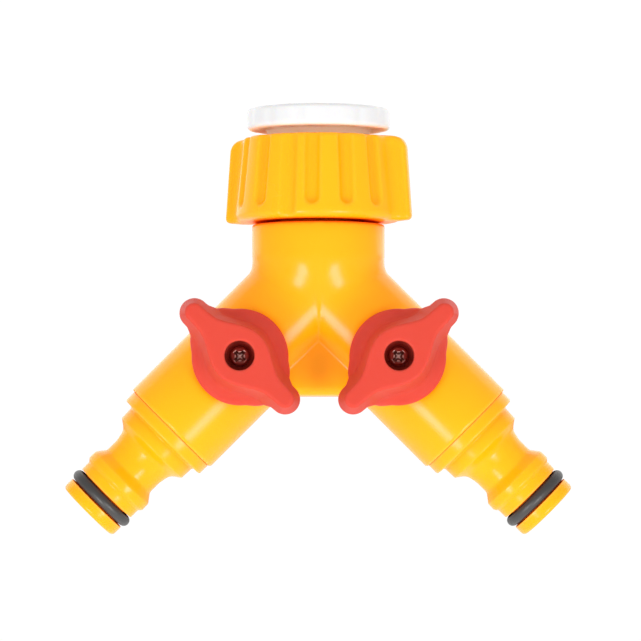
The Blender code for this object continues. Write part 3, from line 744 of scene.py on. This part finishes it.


# Each material's second colour is painted into its hollows. On the yellows, red, ivory, rubber and steel it
# is painted shade, and on the yellows also painted orange light bounced between parts. On the white it is
# painted warm light bounced up from the yellow nut.
YELLOW = new_material("yellow_moulding", (0.99, 0.345, 0.002), (1.0, 0.16, 0.002), roughness=0.22, bump=0.10,
                      grain=1400, subsurface=0.12, specular=0.21, shine_tint=WARM_SHINE, reach=0.006,
                      parting=True)
YELLOW_NUT = new_material("yellow_nut_moulding", (0.99, 0.355, 0.002), (1.0, 0.10, 0.002), roughness=0.26,
                          bump=0.12, grain=1500, subsurface=0.12, specular=0.20, shine_tint=WARM_SHINE,
                          reach=0.003)
RED = new_material("red_moulding", (0.505, 0.050, 0.032), (0.30, 0.030, 0.020), roughness=0.45, bump=0.18,
                   grain=2600, subsurface=0.30, specular=0.06, span=(0, 0.42), wear_and_highlight_paleness=0.1)
WHITE = new_material("white_moulding", (0.59, 0.59, 0.595), (0.98, 0.86, 0.64), roughness=0.36, bump=0.12,
                     grain=1500, subsurface=0.2, tint=0.02, specular=0.3)
IVORY = new_material("ivory_acetal", (0.64, 0.61, 0.53), (0.45, 0.36, 0.22), roughness=0.4, bump=0.1,
                     grain=1600, subsurface=0.15)
RUBBER = new_material("black_rubber", (0.030, 0.028, 0.027), (0.015, 0.015, 0.015), roughness=0.42,
                      bump=0.35, grain=3200)
# The steel's reddish tint is painted red light from the knob's hole, and its recess colour is painted shade
# in the cross.
STEEL_PAINTED_RED_LIGHT = new_material("screw_steel", (0.75, 0.42, 0.36), (0.03, 0.006, 0.006), roughness=0.33, bump=0.3,
                     grain=2600, metallic=1.0, reach=0.0008)
INNER_LOOKS = {"oring": RUBBER, "washer": RUBBER, "ball": IVORY, "seat": IVORY, "spindle": IVORY}


# ---- Pieces ----
def make_body():
    """The grid's cells are centred on x = 0, which keeps the crease between the arms straight."""
    low = BODY_LOW - BODY_MARGIN
    low[0] = -(np.ceil(-low[0] / BODY_CELL) + 0.5) * BODY_CELL
    points, quads = smooth_shell(body_distance, low, BODY_HIGH + BODY_MARGIN, BODY_CELL, rounds=3)
    make_piece("y_body_moulding", points, quads, "splitter_body", YELLOW, ["y_body"])


def make_nut():
    points, quads = smooth_shell(nut_distance, NUT_LOW - NUT_MARGIN, NUT_HIGH + NUT_MARGIN, NUT_CELL)
    make_piece("swivel_nut_moulding", points, quads, "swivel_nut_body", YELLOW_NUT,
               ["swivel_nut"])
    points, faces = helix_ridge(*NUT_THREAD, NUT_BORE_R, NUT_CREST_R)
    make_piece("swivel_nut_thread", points, faces, "swivel_nut_body", YELLOW_NUT)


def rim_dips(radius, angle):
    """Shallow dips round the adaptor's rim, fading out further in."""
    wave = np.cos(RIM_DIPS * (angle + RIM_DIP_TURN)) * 0.5 + 0.5
    return -RIM_DIP_DEPTH * wave ** 3 * np.clip((radius - RIM_DIP_R) / RIM_DIP_RUN, 0, 1)


def make_adaptor():
    corners = [(SOCKET_R, 0, 0.5), (FLANGE_R, 0, 1.0), (FLANGE_R, FLANGE_BOTTOM, 0.9),
               (ADAPTOR_ROOT_R, FLANGE_BOTTOM, 0.6), (ADAPTOR_ROOT_R, ADAPTOR_BOTTOM, 0.6),
               (ADAPTOR_BORE_R, ADAPTOR_BOTTOM, 0.3), (ADAPTOR_BORE_R, SOCKET_FLOOR, 0.3),
               (SOCKET_R, SOCKET_FLOOR, 0.3)]
    points, faces = turned(subdivided(rounded(corners), ADAPTOR_RUN), ADAPTOR_STEPS, rim_dips)
    make_piece("thread_adaptor_moulding", points, faces, "adaptor_body", WHITE,
               ["thread_adaptor"])
    points, faces = helix_ridge(*OUTER_THREAD, ADAPTOR_ROOT_R, ADAPTOR_CREST_R)
    make_piece("adaptor_outer_thread", points, faces, "adaptor_body", WHITE)
    points, faces = helix_ridge(*SOCKET_THREAD, SOCKET_R, SOCKET_CREST_R)
    make_piece("adaptor_socket_thread", points, faces, "adaptor_body", WHITE)


def make_spigot():
    corners = [(SPIGOT_BORE_R, SPIGOT_TOP, 0.3), (SPIGOT_FLANGE_R, SPIGOT_TOP, 0.3),
               (SPIGOT_FLANGE_R, SPIGOT_FLANGE_LOW, 0.3), (SPIGOT_R, SPIGOT_FLANGE_LOW, 0),
               (SPIGOT_R, SPIGOT_END, 0.3), (SPIGOT_BORE_R, SPIGOT_END, 0.3)]
    points, faces = turned(subdivided(rounded(corners), LONGEST_RUN), TURN_STEPS)
    make_piece("inlet_spigot_moulding", points, faces, "splitter_body", YELLOW,
               ["inlet_spigot"])


def make_washer(node, body, bore_r):
    low, high = box_mm(node)
    corners = [(bore_r, high[2], WASHER_EDGE), (high[0], high[2], WASHER_EDGE),
               (high[0], low[2], WASHER_EDGE), (bore_r, low[2], WASHER_EDGE)]
    points, faces = turned(subdivided(rounded(corners), LONGEST_RUN), TURN_STEPS)
    make_piece(node + "_rubber", points, faces, body, RUBBER, [node])


def nozzle_corners():
    """The nozzle's outline, from the tip to the tail in the barrel."""
    tip = [(NOZZLE_BORE_R, NOZZLE_TIP, 0.5), (NOZZLE_TIP_R, NOZZLE_TIP, 0.95),
           (NOZZLE_TIP_R, RING_GROOVE[1], 0.2)]
    groove = [(RING_GROOVE_R, RING_GROOVE[1], 0.2), (RING_GROOVE_R, RING_GROOVE[0], 0.2)]
    ridge = [(NOZZLE_SHOULDER_R, RING_GROOVE[0], 0.2), (NOZZLE_SHOULDER_R, 67.5, 0.5),
             (8.72, 66.7, 0.6), (8.66, 64.75, 0.7)]
    waist = [(7.05, 62.6, 1.2), (7.03, 59.4, 4.0), (7.6, 56.6, 2.5)]
    step = [(9.9, 54.9, 0.35), (10.0, 51.9, 0.5), (10.35, COLLAR_END, 0.2)]
    collar = [(COLLAR_R, COLLAR_END, 0.45), (COLLAR_R, COLLAR_START, 0.12)]
    tail = [(TAIL_R, COLLAR_START, 0), (TAIL_R, TAIL_START, 0.3), (NOZZLE_BORE_R, TAIL_START, 0.3)]
    return tip + groove + ridge + waist + step + collar + tail


def make_nozzle(side):
    points, faces = turned(subdivided(rounded(nozzle_corners()), NOZZLE_RUN), TURN_STEPS)
    make_piece(side + "_outlet_nozzle_moulding", points, faces, "splitter_body", YELLOW,
               [side + "_outlet_nozzle"], arm_place(side))


def make_nozzle_ring(side):
    angles = pi / 2 - 2 * pi * np.arange(RING_STEPS) / RING_STEPS
    profile = [(RING_CENTRE_R + RING_WIRE_R * cos(a), RING_AT + RING_WIRE_R * sin(a)) for a in angles]
    points, faces = turned(profile, TURN_STEPS)
    make_piece(side + "_nozzle_oring_rubber", points, faces, "splitter_body", RUBBER,
               [side + "_nozzle_oring"], arm_place(side))


def make_knobs():
    """Both sides share one knob shape and one screw shape, placed at their valves."""
    reach, width = KNOB_REACH
    low = (-reach, -width, KNOB_BASE - KNOB_MARGIN)
    high = (reach, width, KNOB_TOP + KNOB_MARGIN)
    points, quads = smooth_shell(knob_distance, low, high, KNOB_CELL)
    low = (-SCREW_REACH, -SCREW_REACH, SCREW_SPACE[0])
    high = (SCREW_REACH, SCREW_REACH, SCREW_SPACE[1])
    screw_points, screw_quads = smooth_shell(screw_distance, low, high, SCREW_CELL, rounds=3)
    for side in SIDES:
        place = knob_place(side)
        body = side + "_valve"
        make_piece(side + "_knob_moulding", points, quads, body, RED, [side + "_knob"], place)
        make_piece(side + "_knob_screw_head", screw_points, screw_quads, body, STEEL_PAINTED_RED_LIGHT,
                   [side + "_knob_screw"], place)


def dress_frame_nodes():
    """The inner pieces keep their shape from the frame and get finished materials."""
    for name, node in frame["nodes"].items():
        for word, material in INNER_LOOKS.items():
            if word in name:
                node.data.materials.clear()
                node.data.materials.append(material)
                break


# ---- Stage, light and camera, in metres ----
FLOOR_HALF = 4.0
FLOOR_Z = -0.6
FLOOR_COLOR = (0.93, 0.93, 0.93)
FLOOR_ROUGHNESS = 0.8
ROOM_LIGHT = 1.16
REFLECTED_LIGHT = 0.5
BACKDROP_LIGHT = 1.02
LIT_POINT = (0, 0, -0.05)
LIGHTS = {"front_low": ((0.27, -0.46, -0.32), 0.165, 1.55),     # place on the right, size and watts
          "back_high": ((0.3, 0.44, 0.22), 0.6, 1.2)}
CAMERA_DISTANCE = 0.85
CAMERA_AZIMUTH = radians(-0.55)
CAMERA_ELEVATION = radians(-2.4)
CAMERA_TARGET = Vector((0.0005, 0, -0.0494))
VIEW_WIDTH = 0.149766                          # what the picture spans at the target
SENSOR_MM = 36.0


def make_floor():
    material = bpy.data.materials.new("pale_floor")
    material.use_nodes = True
    shader = material.node_tree.nodes["Principled BSDF"]
    shader.inputs["Base Color"].default_value = (*FLOOR_COLOR, 1)
    shader.inputs["Roughness"].default_value = FLOOR_ROUGHNESS
    mesh = bpy.data.meshes.new("floor")
    corners = [(x * FLOOR_HALF, y * FLOOR_HALF, FLOOR_Z) for x, y in ((-1, -1), (1, -1), (1, 1), (-1, 1))]
    mesh.from_pydata(corners, [], [(0, 1, 2, 3)])
    mesh.materials.append(material)
    floor = bpy.data.objects.new("floor", mesh)
    bpy.context.scene.collection.objects.link(floor)


def make_world():
    """A white room: bright on matt surfaces, dimmer in reflections, and near white behind the object."""
    world = bpy.data.worlds.new("studio")
    world.use_nodes = True
    nodes, links = world.node_tree.nodes, world.node_tree.links
    background = nodes["Background"]
    background.inputs["Color"].default_value = (1, 1, 1, 1)
    path = nodes.new("ShaderNodeLightPath")
    room = mapped(nodes, links, path.outputs["Is Glossy Ray"], (0, 1), ROOM_LIGHT, REFLECTED_LIGHT)
    level = linked(nodes, links, "ShaderNodeMapRange", {"To Max": BACKDROP_LIGHT},
                   {"Value": path.outputs["Is Camera Ray"], "To Min": room})
    links.new(level.outputs["Result"], background.inputs["Strength"])
    bpy.context.scene.world = world


def make_light(name, place, size, power):
    light = bpy.data.lights.new(name, "AREA")
    light.shape = "SQUARE"
    light.size = size
    light.energy = power
    thing = bpy.data.objects.new(name, light)
    thing.location = place
    thing.rotation_euler = (Vector(LIT_POINT) - Vector(place)).to_track_quat("-Z", "Y").to_euler()
    bpy.context.scene.collection.objects.link(thing)


def make_lights():
    for side, direction in SIDES.items():
        for name, ((x, y, z), size, power) in LIGHTS.items():
            make_light(f"{side}_{name}", (direction * x, y, z), size, power)


def make_camera():
    camera = bpy.data.cameras.new("camera")
    camera.sensor_width = SENSOR_MM
    camera.lens = SENSOR_MM * CAMERA_DISTANCE / VIEW_WIDTH
    thing = bpy.data.objects.new("camera", camera)
    level = cos(CAMERA_ELEVATION)
    back = Vector((sin(CAMERA_AZIMUTH) * level, -cos(CAMERA_AZIMUTH) * level, sin(CAMERA_ELEVATION)))
    thing.location = CAMERA_TARGET + back * CAMERA_DISTANCE
    thing.rotation_euler = back.to_track_quat("Z", "Y").to_euler()
    bpy.context.scene.collection.objects.link(thing)
    bpy.context.scene.camera = thing


make_body()
make_nut()
make_adaptor()
make_spigot()
make_washer("inlet_washer", "splitter_body", INLET_WASHER_BORE_R)
make_washer("adaptor_washer", "adaptor_washer_body", ADAPTOR_WASHER_BORE_R)
for side in SIDES:
    make_nozzle(side)
    make_nozzle_ring(side)
make_knobs()
dress_frame_nodes()
make_floor()
make_world()
make_lights()
make_camera()
bpy.context.scene.view_settings.view_transform = "Standard"
